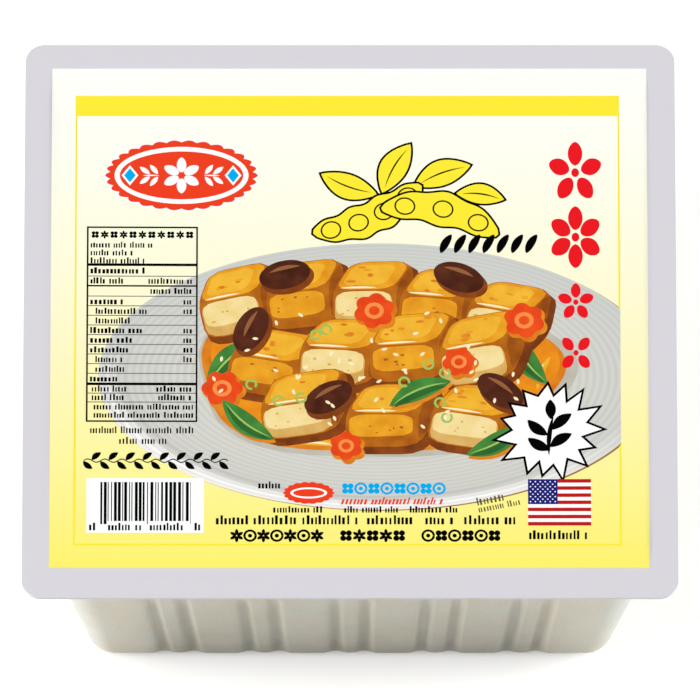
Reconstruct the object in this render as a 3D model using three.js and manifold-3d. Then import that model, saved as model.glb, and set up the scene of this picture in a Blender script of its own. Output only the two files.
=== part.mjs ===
// A sealed tofu pack: a drafted, fluted plastic tub with a flat flange all round its mouth, and the
// lidding film that is sealed flat on that flange. The pack is shut and full, so the tub is solid.
//
// Units are millimetres and +Z is up. The pack lies on its base with the film on top. The origin is
// the middle of the plane it stands on, +X runs along the long side and -Y is the front wall.

import * as THREE from 'three';
import { mergeVertices } from 'three/addons/utils/BufferGeometryUtils.js';
import Module from 'manifold-3d';

// Overall size
const PACK_LENGTH = 135;
const PACK_WIDTH = 125.5;
const PACK_HEIGHT = 50;

// Flange and film
const FILM_THICKNESS = 0.3;
const FLANGE_THICKNESS = 0.6;
const FLANGE_CORNER_RADIUS = 4;
const FLANGE_OVERHANG = 4;

// Walls: how far each pair leans in, and how round the tub is in plan and along its bottom edge
const DRAFT_X_DEG = 11;
const DRAFT_Y_DEG = 5;
const MOUTH_CORNER_RADIUS = 10;
const BASE_CORNER_RADIUS = 5.5;
const BOTTOM_EDGE_RADIUS = 3.5;
const RIM_CHAMFER = 1.2;

// Flutes: pairs of soft vertical grooves with a narrow rib between the two
const PAIRS_PER_WALL = 5;
const PAIR_PITCH = 19.5;
const GROOVE_SPACING = 6.7;
const GROOVE_WIDTH = 4.5;
const GROOVE_DEPTH = 1.1;
const FLUTE_END_BELOW_FLANGE = 4;
const FLUTE_FADE_HEIGHT = 16;
const FLUTE_FOOT_HEIGHT = 8;
const FLUTE_SHARE_AT_BASE = 0.25;

// Shallow panel pressed up into the base, which leaves a flat foot all round it
const FOOT_WIDTH = 9;
const BASE_PANEL_DEPTH = 1.2;
const BASE_PANEL_SLOPE = 1.2;

// Fineness of the facets
const MOUTH_CORNER_STEPS = 6;
const FLANGE_CORNER_STEPS = 6;
const BOTTOM_EDGE_STEPS = 3;
const FLUTE_FOOT_STEPS = 2;
const FLUTE_FADE_STEPS = 4;
const GROOVE_STATIONS = [-1, -0.5, 0, 0.5, 1];

const tubHeight = PACK_HEIGHT - FILM_THICKNESS;
const flangeUnderside = tubHeight - FLANGE_THICKNESS;
const mouthHalfX = PACK_LENGTH / 2 - FLANGE_OVERHANG;
const mouthHalfY = PACK_WIDTH / 2 - FLANGE_OVERHANG;
const leanX = Math.tan(THREE.MathUtils.degToRad(DRAFT_X_DEG));
const leanY = Math.tan(THREE.MathUtils.degToRad(DRAFT_Y_DEG));

const wasm = await Module();
wasm.setup();

// ---------------------------------------------------------------- outlines

/** A rectangle with round corners, centred on the origin. */
function roundedRectangle(halfX, halfY, radius) {
  const shape = new THREE.Shape();
  shape.moveTo(-halfX + radius, -halfY);
  shape.lineTo(halfX - radius, -halfY);
  shape.absarc(halfX - radius, -halfY + radius, radius, -Math.PI / 2, 0, false);
  shape.lineTo(halfX, halfY - radius);
  shape.absarc(halfX - radius, halfY - radius, radius, 0, Math.PI / 2, false);
  shape.lineTo(-halfX + radius, halfY);
  shape.absarc(-halfX + radius, halfY - radius, radius, Math.PI / 2, Math.PI, false);
  shape.lineTo(-halfX, -halfY + radius);
  shape.absarc(-halfX + radius, -halfY + radius, radius, Math.PI, 1.5 * Math.PI, false);
  return shape;
}

/** Where the grooves of one wall lie at the mouth: distances along the wall from its middle. */
function grooveCentres() {
  const centres = [];
  for (let pair = 0; pair < PAIRS_PER_WALL; pair += 1) {
    const middle = (pair - (PAIRS_PER_WALL - 1) / 2) * PAIR_PITCH;
    centres.push(middle - GROOVE_SPACING / 2, middle + GROOVE_SPACING / 2);
  }
  return centres;
}

/** How deep a groove is at a share of its half width from its centre, as a share of full depth. */
function grooveProfile(share) {
  return Math.cos((share * Math.PI) / 2) ** 2;
}

/** The points along one wall at the mouth: how far along, as a share of the straight, and how deep. */
function wallStations(straightHalf) {
  const stations = [];
  stations.push({ along: -1, depth: 0 });
  for (const centre of grooveCentres()) {
    for (const share of GROOVE_STATIONS) {
      const distance = centre + (share * GROOVE_WIDTH) / 2;
      stations.push({ along: distance / straightHalf, depth: grooveProfile(share) });
    }
  }
  stations.push({ along: 1, depth: 0 });
  return stations;
}

const longStations = wallStations(mouthHalfX - MOUTH_CORNER_RADIUS);
const shortStations = wallStations(mouthHalfY - MOUTH_CORNER_RADIUS);

/** The share of the full groove depth at a height: none at the rim, full down the wall, less at the foot. */
function fluteShare(z) {
  const below = flangeUnderside - FLUTE_END_BELOW_FLANGE - z;
  const fade = THREE.MathUtils.smoothstep(below, 0, FLUTE_FADE_HEIGHT);
  const foot = THREE.MathUtils.smoothstep(z, 0, FLUTE_FOOT_HEIGHT);
  return fade * THREE.MathUtils.lerp(FLUTE_SHARE_AT_BASE, 1, foot);
}

/** The tub's outline at a height, moved out by some distance (in where that is negative). */
function wallOutline(z, moved) {
  const down = flangeUnderside - z;
  const halfX = mouthHalfX - down * leanX + moved;
  const halfY = mouthHalfY - down * leanY + moved;
  const downShare = THREE.MathUtils.clamp(down / flangeUnderside, 0, 1);
  const plainRadius = THREE.MathUtils.lerp(MOUTH_CORNER_RADIUS, BASE_CORNER_RADIUS, downShare);
  const radius = plainRadius + moved;
  const depth = GROOVE_DEPTH * fluteShare(z);
  const points = [];
  for (let wall = 0; wall < 4; wall += 1) {
    const turn = (wall * Math.PI) / 2;
    const isLong = wall % 2 === 0;
    const straight = (isLong ? halfX : halfY) - radius;
    const out = isLong ? halfY : halfX;
    for (const station of isLong ? longStations : shortStations) {
      const place = new THREE.Vector2(station.along * straight, -out + station.depth * depth);
      points.push(place.rotateAround(new THREE.Vector2(), turn));
    }
    for (let step = 1; step < MOUTH_CORNER_STEPS; step += 1) {
      const angle = -Math.PI / 2 + (step / MOUTH_CORNER_STEPS) * (Math.PI / 2);
      const place = new THREE.Vector2(
        straight + radius * Math.cos(angle),
        -out + radius + radius * Math.sin(angle),
      );
      points.push(place.rotateAround(new THREE.Vector2(), turn));
    }
  }
  return points;
}

// ---------------------------------------------------------------- solids

/** A closed solid through a stack of outlines, each { z, points }, that have the same point count. */
function loftSolid(levels) {
  const count = levels[0].points.length;
  const positions = levels.flatMap(({ z, points }) => points.flatMap((p) => [p.x, p.y, z]));
  const index = [];
  for (let level = 0; level < levels.length - 1; level += 1) {
    for (let i = 0; i < count; i += 1) {
      const a = level * count + i;
      const b = level * count + ((i + 1) % count);
      index.push(a, b, b + count, a, b + count, a + count);
    }
  }
  const top = (levels.length - 1) * count;
  for (const [a, b, c] of THREE.ShapeUtils.triangulateShape(levels[0].points, [])) {
    index.push(a, c, b);
  }
  for (const [a, b, c] of THREE.ShapeUtils.triangulateShape(levels[levels.length - 1].points, [])) {
    index.push(top + a, top + b, top + c);
  }
  const geometry = new THREE.BufferGeometry();
  geometry.setAttribute('position', new THREE.Float32BufferAttribute(positions, 3));
  geometry.setIndex(index);
  return geometry;
}

/** A plate of one outline between two heights. */
function plate(shape, bottom, top) {
  const geometry = new THREE.ExtrudeGeometry(shape, {
    depth: top - bottom,
    bevelEnabled: false,
    curveSegments: FLANGE_CORNER_STEPS,
  });
  return geometry.translate(0, 0, bottom);
}

/** The closed solid of a geometry, for cutting and joining. */
function toManifold(geometry) {
  const bare = geometry.clone();
  bare.deleteAttribute('normal');
  bare.deleteAttribute('uv');
  const merged = mergeVertices(bare, 1e-4);
  const vertProperties = new Float32Array(merged.attributes.position.array);
  const triVerts = new Uint32Array(merged.index.array);
  return new wasm.Manifold(new wasm.Mesh({ numProp: 3, vertProperties, triVerts }));
}

/** The geometry of a closed solid that has been cut or joined. */
function toGeometry(manifold) {
  const mesh = manifold.getMesh();
  const geometry = new THREE.BufferGeometry();
  geometry.setAttribute('position', new THREE.BufferAttribute(mesh.vertProperties, 3));
  geometry.setIndex(new THREE.BufferAttribute(mesh.triVerts, 1));
  geometry.computeVertexNormals();
  return geometry;
}

// ---------------------------------------------------------------- sub-parts

/** The levels of the tub's body, from the base round the bottom edge and up to inside the flange. */
function bodyLevels() {
  const levels = [];
  for (let step = 0; step <= BOTTOM_EDGE_STEPS; step += 1) {
    const angle = (step / BOTTOM_EDGE_STEPS) * (Math.PI / 2);
    const z = BOTTOM_EDGE_RADIUS * (1 - Math.cos(angle));
    levels.push({ z, points: wallOutline(z, -BOTTOM_EDGE_RADIUS * (1 - Math.sin(angle))) });
  }
  for (let step = 1; step <= FLUTE_FOOT_STEPS; step += 1) {
    const share = step / FLUTE_FOOT_STEPS;
    const z = THREE.MathUtils.lerp(BOTTOM_EDGE_RADIUS, FLUTE_FOOT_HEIGHT, share);
    levels.push({ z, points: wallOutline(z, 0) });
  }
  const fluteTop = flangeUnderside - FLUTE_END_BELOW_FLANGE;
  for (let step = 0; step <= FLUTE_FADE_STEPS; step += 1) {
    const z = fluteTop - FLUTE_FADE_HEIGHT * (1 - step / FLUTE_FADE_STEPS);
    levels.push({ z, points: wallOutline(z, 0) });
  }
  const chamferStart = flangeUnderside - RIM_CHAMFER;
  const buried = flangeUnderside + FLANGE_THICKNESS / 2;
  levels.push({ z: chamferStart, points: wallOutline(chamferStart, 0) });
  levels.push({ z: buried, points: wallOutline(buried, buried - chamferStart) });
  return levels;
}

/** The shallow space under the base's panel, with sloping sides. */
function basePanelSpace() {
  const halfX = mouthHalfX - flangeUnderside * leanX - FOOT_WIDTH;
  const halfY = mouthHalfY - flangeUnderside * leanY - FOOT_WIDTH;
  const radius = BASE_CORNER_RADIUS / 2;
  const outline = (z) => {
    const inset = (z / BASE_PANEL_DEPTH) * BASE_PANEL_SLOPE;
    const shape = roundedRectangle(halfX - inset, halfY - inset, radius - inset);
    return { z, points: shape.extractPoints(FLANGE_CORNER_STEPS).shape.slice(0, -1) };
  };
  return loftSolid([outline(-BASE_PANEL_DEPTH), outline(BASE_PANEL_DEPTH)]);
}

function makeTub() {
  const outline = roundedRectangle(PACK_LENGTH / 2, PACK_WIDTH / 2, FLANGE_CORNER_RADIUS);
  const flange = toManifold(plate(outline, flangeUnderside, tubHeight));
  const body = toManifold(loftSolid(bodyLevels()));
  const panelSpace = toManifold(basePanelSpace());
  const mesh = new THREE.Mesh(
    toGeometry(body.add(flange).subtract(panelSpace)),
    new THREE.MeshStandardMaterial({ color: 0xd6d3c8, roughness: 0.42, metalness: 0 }),
  );
  mesh.name = 'tub';
  return mesh;
}

function makeLidFilm() {
  const outline = roundedRectangle(PACK_LENGTH / 2, PACK_WIDTH / 2, FLANGE_CORNER_RADIUS);
  const mesh = new THREE.Mesh(
    plate(outline, tubHeight, PACK_HEIGHT),
    new THREE.MeshStandardMaterial({ color: 0xdad8dd, roughness: 0.35, metalness: 0 }),
  );
  mesh.name = 'lid_film';
  return mesh;
}

const group = new THREE.Group();
group.add(makeTub(), makeLidFilm());

export default group;
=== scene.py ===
"""Looks of a sealed tofu pack: a fluted plastic tub and the printed film sealed on its flange.

Sizes are millimetres until a mesh is made, which is in metres. The origin is under the middle of
the base, +X runs along the long side, -Y is the front wall and +Z is up.
"""

import math
import random

import bpy
import numpy as np
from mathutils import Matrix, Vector
from mathutils.geometry import delaunay_2d_cdt


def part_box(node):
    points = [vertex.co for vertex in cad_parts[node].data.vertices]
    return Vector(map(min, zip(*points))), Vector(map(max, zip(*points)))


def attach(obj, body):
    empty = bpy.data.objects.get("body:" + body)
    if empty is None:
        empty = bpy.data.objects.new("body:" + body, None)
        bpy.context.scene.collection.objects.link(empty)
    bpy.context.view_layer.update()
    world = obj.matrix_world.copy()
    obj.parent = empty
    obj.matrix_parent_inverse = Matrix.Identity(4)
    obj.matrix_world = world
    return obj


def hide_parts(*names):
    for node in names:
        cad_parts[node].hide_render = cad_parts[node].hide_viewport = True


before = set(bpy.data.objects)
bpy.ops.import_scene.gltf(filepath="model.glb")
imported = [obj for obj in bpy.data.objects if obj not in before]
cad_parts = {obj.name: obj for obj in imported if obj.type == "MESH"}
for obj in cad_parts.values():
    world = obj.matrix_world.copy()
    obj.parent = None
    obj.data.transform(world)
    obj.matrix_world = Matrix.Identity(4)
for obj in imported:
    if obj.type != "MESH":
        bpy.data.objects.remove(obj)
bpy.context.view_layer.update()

MM = 0.001

# ---- sizes of the pack

film_low, film_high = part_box("lid_film")
PACK_LENGTH = (film_high.x - film_low.x) / MM
PACK_WIDTH = (film_high.y - film_low.y) / MM
PACK_HEIGHT = film_high.z / MM
FLANGE_THICKNESS = 0.6
FLANGE_UNDERSIDE = film_low.z / MM - FLANGE_THICKNESS
FLANGE_CORNER_RADIUS = 4.0
FLANGE_EDGE_RADIUS = 0.25
FLANGE_OVERHANG = 4.0
FILM_THICKNESS = 0.15

DRAFT_X = math.tan(math.radians(11))
DRAFT_Y = math.tan(math.radians(5))
MOUTH_HALF_X = PACK_LENGTH / 2 - FLANGE_OVERHANG
MOUTH_HALF_Y = PACK_WIDTH / 2 - FLANGE_OVERHANG
FOOT_HALF_X = MOUTH_HALF_X - FLANGE_UNDERSIDE * DRAFT_X
FOOT_HALF_Y = MOUTH_HALF_Y - FLANGE_UNDERSIDE * DRAFT_Y
MOUTH_CORNER_RADIUS = 10.0
BASE_CORNER_RADIUS = 5.5
BOTTOM_EDGE_RADIUS = 3.5
RIM_FILLET_RADIUS = 1.2
WALL_BULGE = 0.35

PAIRS_PER_WALL = 5
PAIR_PITCH = 19.5
GROOVE_SPACING = 6.7
GROOVE_WIDTH = 4.5
GROOVE_WIDTH_AT_FOOT = 6.0
GROOVE_WIDENING_HEIGHT = 14.0
GROOVE_DEPTH = 1.1
PANEL_ARCH = 0.26
FLUTE_END_BELOW_FLANGE = 4.0
FLUTE_FADE_HEIGHT = 16.0
FLUTE_FOOT_HEIGHT = 8.0
FLUTE_SHARE_AT_BASE = 0.25

FOOT_WIDTH = 9.0
BASE_PANEL_DEPTH = 1.2
BASE_PANEL_EDGE = 1.6
BASE_PANEL_INSETS = (30.0, 12.0, 3.0)
CORE_BELOW_FLANGE_TOP = 1.2
CORE_INSETS = (1.5, 14.0, 36.0)

GROOVE_POINTS = 17
GROOVE_REACH = 0.46 * GROOVE_SPACING
PLAIN_SPACING = 1.2
CORNER_POINTS = 24
BASE_STEPS = 7
BOTTOM_EDGE_STEPS = 11
WALL_STEPS = 34
FILLET_STEPS = 7
FLANGE_EDGE_STEPS = 4

# ---- sizes of the film and its print

SEAL_STEP = 0.05
SEAL_STEP_WIDTH = 2.2
FILM_SAG = 0.30
SAG_REACH = 42.0
RIPPLE_HEIGHT = 0.012
SWELL_HEIGHT = 0.03
FILM_GRID = 2.0
FILM_GRID_SHIFT = 0.31
FILM_GRID_MARGIN = 0.8
FILM_CORNER_STEPS = 13
PRINT_THICKNESS = 0.02
PRINT_ROOT = 0.01

FIELD = (-61.9, -56.05, 61.6, 57.3)
RULE = (-57.0, -50.95, 55.9, 51.15)
RULE_WIDTH = 0.38
BAND_BOTTOM = 46.5
INK_LINE = 0.44
MITRE_LIMIT = 2.5
CORNER_CUT = 0.17
POINTS_PER_LOBE = 10
STROKES_IN_GROUP = (5, 13)
STROKE_GAPS = (0.14, 0.18, 0.24)
GROUP_GAP = 0.42
TALL_SHARE = 0.2
PLATE_CENTRE = np.array([5.9, -12.7])
PLATE_HALF = np.array([57.9, 30.2])
PLATE_RIM_OFFSET = (0.42, -0.2)
PICTURE_CENTRE = np.array([4.5, -11.4])
STALK_RINGS = 10
SEEDS = 46
EMBLEM_CENTRE = np.array([-34.95, 33.0])
POD_SIZE = (25.0, 7.8)
POD_POINTS = 56
PANEL = (-54.5, -23.05, -31.5, 21.3)
PANEL_LINE = 0.36
PANEL_PITCH = 2.19
BAR_BOX = (-54.3, -48.05, -30.1, -35.7)
BAR_ENDS = (-51.4, -32.8)
BAR_MODULE = 0.2
BURST_CENTRE = np.array([41.2, -24.9])
BURST_HALF = (11.2, 11.648)
BURST_SPIKES = 15
FLAG = (36.65, -46.4, 49.65, -35.95)
FLAG_STRIPES = 13


# ---- small helpers


def smoothstep(value, low, high):
    t = np.clip((np.asarray(value, float) - low) / (high - low), 0, 1)
    return t * t * (3 - 2 * t)


def mix(a, b, share):
    return a + (b - a) * share


def srgb(red, green, blue):
    """A colour as seen on screen, 0 to 255, as the linear numbers a shader takes."""
    shares = (red / 255, green / 255, blue / 255)
    return tuple(s / 12.92 if s <= 0.04045 else ((s + 0.055) / 1.055) ** 2.4 for s in shares)


def mesh_object(name, points, faces, material):
    """A smooth mesh from points in millimetres."""
    mesh = bpy.data.meshes.new(name)
    mesh.from_pydata((np.asarray(points, float) * MM).tolist(), [], [list(f) for f in faces])
    mesh.materials.append(material)
    mesh.polygons.foreach_set("use_smooth", [True] * len(mesh.polygons))
    mesh.validate()
    made = bpy.data.objects.new(name, mesh)
    bpy.context.scene.collection.objects.link(made)
    return made


# ---- the tub


def groove_centres():
    middles = (np.arange(PAIRS_PER_WALL) - (PAIRS_PER_WALL - 1) / 2) * PAIR_PITCH
    return np.sort(np.concatenate([middles - GROOVE_SPACING / 2, middles + GROOVE_SPACING / 2]))


def wall_places(straight_half):
    """Where the points of a wall lie at the mouth, from its middle: closer in the grooves."""
    centres = groove_centres()
    across = np.linspace(-GROOVE_REACH, GROOVE_REACH, GROOVE_POINTS)
    fine = (centres[:, None] + across).ravel()
    plain = np.linspace(-straight_half, straight_half, int(2 * straight_half / PLAIN_SPACING))
    clear = np.abs(plain[:, None] - centres).min(axis=1) > GROOVE_REACH + PLAIN_SPACING / 3
    return np.sort(np.concatenate([fine, plain[clear]]))


LONG_STRAIGHT = MOUTH_HALF_X - MOUTH_CORNER_RADIUS
SHORT_STRAIGHT = MOUTH_HALF_Y - MOUTH_CORNER_RADIUS
LONG_WALL = wall_places(LONG_STRAIGHT)
SHORT_WALL = wall_places(SHORT_STRAIGHT)


def wall_relief(places, flute, width):
    """How far in from the plain wall each point lies: the grooves and each panel's soft arch."""
    to_groove = (places[:, None] - groove_centres()) / (width / 2)
    groove = (np.cos(np.clip(to_groove, -1, 1) * math.pi / 2) ** 2).sum(axis=1)
    panel = np.clip(places / PAIR_PITCH + PAIRS_PER_WALL / 2, 0, PAIRS_PER_WALL)
    arch = np.sin(math.pi * panel) ** 2
    return flute * (GROOVE_DEPTH * groove + PANEL_ARCH * arch)


def ring(half_x, half_y, radius, flute=0.0, width=GROOVE_WIDTH, bulge=0.0):
    """A closed outline with round corners, counter-clockwise from the front wall."""
    long_side = half_x, half_y, LONG_WALL, LONG_STRAIGHT
    short_side = half_y, half_x, SHORT_WALL, SHORT_STRAIGHT
    parts = []
    for wall in range(4):
        half, out, places, straight_at_mouth = short_side if wall % 2 else long_side
        straight = half - radius
        share = places / straight_at_mouth
        y_wall = -out - bulge * (1 - share**2) ** 2 + wall_relief(places, flute, width)
        angle = -math.pi / 2 + np.linspace(0, math.pi / 2, CORNER_POINTS + 2)[1:-1]
        x = np.concatenate([share * straight, straight + radius * np.cos(angle)])
        y = np.concatenate([y_wall, -out + radius + radius * np.sin(angle)])
        for _ in range(wall):
            x, y = -y, x
        parts.append(np.column_stack([x, y]))
    return np.concatenate(parts)


def flute_share(z):
    """The share of the full groove depth at a height."""
    below = FLANGE_UNDERSIDE - FLUTE_END_BELOW_FLANGE - z
    foot = mix(FLUTE_SHARE_AT_BASE, 1.0, smoothstep(z, 0, FLUTE_FOOT_HEIGHT))
    return float(smoothstep(below, 0, FLUTE_FADE_HEIGHT) * foot)


def wall_ring(z, moved=0.0):
    down = FLANGE_UNDERSIDE - z
    share = min(max(down / FLANGE_UNDERSIDE, 0), 1)
    radius = mix(MOUTH_CORNER_RADIUS, BASE_CORNER_RADIUS, share) + moved
    half_x = MOUTH_HALF_X - down * DRAFT_X + moved
    half_y = MOUTH_HALF_Y - down * DRAFT_Y + moved
    width = mix(GROOVE_WIDTH_AT_FOOT, GROOVE_WIDTH, float(smoothstep(z, 0, GROOVE_WIDENING_HEIGHT)))
    bulge = WALL_BULGE * math.sin(math.pi * share) ** 2
    return ring(half_x, half_y, radius, flute_share(z), width, bulge)


def flange_ring(inset):
    return ring(PACK_LENGTH / 2 - inset, PACK_WIDTH / 2 - inset, FLANGE_CORNER_RADIUS - inset)


def mouth_ring(inset):
    radius = max(MOUTH_CORNER_RADIUS - inset, 1.0)
    return ring(MOUTH_HALF_X - inset, MOUTH_HALF_Y - inset, radius)


def base_panel_ring(inset):
    inset += FOOT_WIDTH
    return ring(FOOT_HALF_X - inset, FOOT_HALF_Y - inset, BASE_CORNER_RADIUS / 2)


def base_levels():
    """The pressed-up panel in the base and its slope down to the foot, from the middle out."""
    levels = [(base_panel_ring(inset), BASE_PANEL_DEPTH) for inset in BASE_PANEL_INSETS]
    for share in np.linspace(0, 1, BASE_STEPS):
        height = BASE_PANEL_DEPTH * (1 - float(smoothstep(share, 0, 1)))
        levels.append((base_panel_ring(BASE_PANEL_EDGE * (1 - share)), height))
    return levels


def quarter(radius, steps):
    """Along a quarter circle, how far it has gone one way and has still to go the other."""
    angle = np.linspace(0, math.pi / 2, steps)
    return list(zip(radius * (1 - np.cos(angle)), radius * (1 - np.sin(angle))))


def wall_levels():
    """Round the bottom edge, up the wall and out along the fillet under the flange."""
    bottom_edge = quarter(BOTTOM_EDGE_RADIUS, BOTTOM_EDGE_STEPS)
    levels = [(wall_ring(gone, -left), gone) for gone, left in bottom_edge]
    straight_top = FLANGE_UNDERSIDE - RIM_FILLET_RADIUS
    for z in np.linspace(BOTTOM_EDGE_RADIUS, straight_top, WALL_STEPS)[1:]:
        levels.append((wall_ring(z), z))
    for gone, left in quarter(RIM_FILLET_RADIUS, FILLET_STEPS)[1:]:
        levels.append((wall_ring(FLANGE_UNDERSIDE - left, gone), FLANGE_UNDERSIDE - left))
    return levels


def flange_levels():
    """Out along the flange's underside, round its edge and back in over its top to the middle."""
    top = PACK_HEIGHT - FILM_THICKNESS
    flat = FLANGE_EDGE_RADIUS + 0.1
    edge = quarter(FLANGE_EDGE_RADIUS, FLANGE_EDGE_STEPS)
    levels = [(flange_ring(inset), FLANGE_UNDERSIDE) for inset in (FLANGE_OVERHANG / 2, flat)]
    levels += [(flange_ring(left), FLANGE_UNDERSIDE + gone) for gone, left in edge]
    levels += [(flange_ring(gone), top - left) for gone, left in edge]
    levels += [(flange_ring(flat), top), (mouth_ring(0), top)]
    return levels + [(mouth_ring(inset), top - CORE_BELOW_FLANGE_TOP) for inset in CORE_INSETS]


def make_tub(material):
    levels = base_levels() + wall_levels() + flange_levels()
    count = len(levels[0][0])
    points = np.concatenate([np.column_stack([xy, np.full(count, z)]) for xy, z in levels])
    last = (len(levels) - 1) * count
    faces = []
    for start in range(0, last, count):
        for i in range(count):
            a, b = start + i, start + (i + 1) % count
            faces.append((a, b, b + count, a + count))
    faces += [range(count)[::-1], range(last, last + count)]
    return mesh_object("tub_body", points, faces, material)


# ---- shapes of the print


def turned(points, angle_deg, centre):
    angle = math.radians(angle_deg)
    cos, sin = math.cos(angle), math.sin(angle)
    moved = np.asarray(points, float) - centre
    return moved @ np.array([[cos, sin], [-sin, cos]]) + centre


def round_angles(count):
    return np.linspace(0, 2 * math.pi, count, endpoint=False)


def oval(centre, half_x, half_y, angle, reach=1.0):
    """The places on an oval at angles in radians, nearer to its centre where reach is below 1."""
    x, y = half_x * reach * np.cos(angle), half_y * reach * np.sin(angle)
    return np.stack([x, y], axis=-1) + centre


def rectangle(left, bottom, right, top):
    return np.array([(left, bottom), (right, bottom), (right, top), (left, top)], float)


def ellipse(centre, half_x, half_y, count=48, angle=0.0):
    return turned(oval(centre, half_x, half_y, round_angles(count)), angle, centre)


def softened(points):
    """A polygon with its corners cut twice, which makes them round."""
    for _ in range(2):
        ahead = np.roll(points, -1, axis=0)
        cut = [mix(points, ahead, CORNER_CUT), mix(ahead, points, CORNER_CUT)]
        points = np.stack(cut, axis=1).reshape(-1, 2)
    return points


def scalloped(centre, half_x, half_y, lobes, depth, start=0.0):
    """An oval with lobes all round."""
    t = round_angles(lobes * POINTS_PER_LOBE)
    reach = 1 - depth * (1 - np.abs(np.cos(lobes * (t - math.radians(start)) / 2)))
    return oval(centre, half_x, half_y, t, reach)


def bowed(half_widths, length, bend, angle, centre):
    """A shape along +X before it is turned, with these half widths, bowed sideways by bend."""
    t = np.linspace(0, 1, len(half_widths))
    x = (t - 0.5) * length
    spine = bend * (1 - (2 * t - 1) ** 2)
    under = np.column_stack([x, spine - half_widths])
    over = np.column_stack([x, spine + half_widths])[::-1][1:-1]
    return turned(np.concatenate([under, over]) + centre, angle, centre)


def leaf(centre, length, width, angle=0.0, bend=0.0, fullness=0.8, count=24):
    """Pointed at both ends, and blunter the smaller its fullness is."""
    t = np.linspace(0, 1, count)
    return bowed(width / 2 * np.sin(math.pi * t) ** fullness, length, bend, angle, centre)


def pod(centre, length, width, beans, angle, bend):
    """A bean pod, which swells at each bean, and the middles of its beans."""
    t = np.linspace(0, 1, POD_POINTS)
    swell = 1 - 0.09 * (1 + np.cos(2 * math.pi * beans * t))
    outline = bowed(width / 2 * np.sin(math.pi * t) ** 0.45 * swell, length, bend, angle, centre)
    t = (np.arange(beans) + 0.5) / beans
    spine = bend * (1 - (2 * t - 1) ** 2)
    middles = turned(np.column_stack([(t - 0.5) * length * 0.94, spine]) + centre, angle, centre)
    return outline, middles


def open_ring(centre, radius, width, start, sweep=320, count=26):
    """A ring with a gap in it, as a sliced stalk has."""
    t = np.radians(np.linspace(start, start + sweep, count))
    inner = radius - width
    return np.concatenate([oval(centre, radius, radius, t), oval(centre, inner, inner, t[::-1])])


def grown(points, distance):
    """A counter-clockwise outline moved outwards by a distance."""
    ahead = np.roll(points, -1, axis=0) - points
    normal = np.column_stack([ahead[:, 1], -ahead[:, 0]])
    normal /= np.linalg.norm(normal, axis=1)[:, None]
    before = np.roll(normal, 1, axis=0)
    mitre = (normal + before) / (1 + (normal * before).sum(axis=1))[:, None]
    reach = np.linalg.norm(mitre, axis=1)[:, None]
    return points + mitre * np.minimum(1, MITRE_LIMIT / reach) * distance


def signed_area(points):
    ahead = np.roll(points, -1, axis=0)
    return 0.5 * float((points[:, 0] * ahead[:, 1] - ahead[:, 0] * points[:, 1]).sum())


def ornament(sheet, ink, centre, half, kind):
    """A small plain figure: four round petals, a star of six leaves, or a ring round a dot."""
    if kind == "petals":
        for angle in (45, 135, 225, 315):
            place = oval(centre, 0.56 * half, 0.56 * half, math.radians(angle))
            sheet.add(ink, ellipse(place, 0.42 * half, 0.42 * half, 14))
    elif kind == "star":
        for angle in range(30, 390, 60):
            place = oval(centre, 0.55 * half, 0.55 * half, math.radians(angle))
            sheet.add(ink, leaf(place, 0.98 * half, 0.5 * half, angle, 0, 0.7, 10))
    else:
        sheet.add(ink, open_ring(centre, 0.95 * half, 0.34 * half, 0, 359, 28))
        sheet.add(ink, ellipse(centre, 0.3 * half, 0.3 * half, 12))


class Print:
    """The shapes printed on the film, from the lowest to the uppermost, each with its ink."""

    def __init__(self):
        self.shapes = []

    def add(self, ink, points):
        points = np.asarray(points, float)
        if signed_area(points) < 0:
            points = points[::-1]
        self.shapes.append((ink, points))

    def outlined(self, ink, line_ink, points, line=INK_LINE):
        self.add(line_ink, grown(points, line))
        self.add(ink, points)

    def frame(self, ink, left, bottom, right, top, line):
        """Four strips that make a thin rectangle, so that what lies under it still shows inside."""
        low, high = bottom + line, top - line
        self.add(ink, rectangle(left, bottom, right, low))
        self.add(ink, rectangle(left, high, right, top))
        self.add(ink, rectangle(left, low, left + line, high))
        self.add(ink, rectangle(right - line, low, right, high))

    def strokes(self, left, right, base, height, seed, weight, ink="black", slant=0.0, turn=0.0):
        """Groups of short plain strokes, which fill the place of a line of small type."""
        rng = random.Random(seed)
        pivot = np.array([left, base])
        x = left
        while x < right:
            for _ in range(rng.randint(*STROKES_IN_GROUP)):
                thick = weight * height * rng.uniform(0.8, 1.25)
                tall = height if rng.random() < TALL_SHARE else rng.uniform(0.66, 0.8) * height
                if x + thick > right:
                    return
                stroke = rectangle(x, base, x + thick, base + tall)
                stroke[2:, 0] += slant * tall
                self.add(ink, turned(stroke, turn, pivot))
                x += thick + rng.choice(STROKE_GAPS) * height
            x += GROUP_GAP * height

    def vine(self, ink, left, right, middle, height, leaves):
        """A wavy stem with a leaf on either side in turn, as long as a line of bold type."""
        t = np.linspace(0, 1, 12 * leaves)
        x = mix(left, right, t)
        y = middle + 0.1 * height * np.sin(math.pi * leaves * t)
        stem = np.column_stack([x, y])
        half = np.array([0.0, 0.035 * height])
        self.add(ink, np.concatenate([stem - half, (stem + half)[::-1]]))
        step = (right - left) / leaves
        for k in range(leaves):
            side = 1 if k % 2 else -1
            place = np.array([left + (k + 0.5) * step, middle + side * 0.27 * height])
            size, bend = (0.72 * height, 0.34 * height), side * 0.05 * height
            self.add(ink, leaf(place, *size, side * 42, bend))

    def row(self, ink, left, right, middle, half, kinds):
        """Small plain figures in a row, evenly spaced."""
        for x, kind in zip(np.linspace(left + half, right - half, len(kinds)), kinds):
            ornament(self, ink, (x, middle), half, kind)


# ---- what is printed


def print_ground(sheet):
    sheet.add("field", rectangle(*FIELD))
    sheet.frame("yellow", *RULE, RULE_WIDTH)
    sheet.add("yellow", rectangle(RULE[0], BAND_BOTTOM, RULE[2], RULE[3]))


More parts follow.
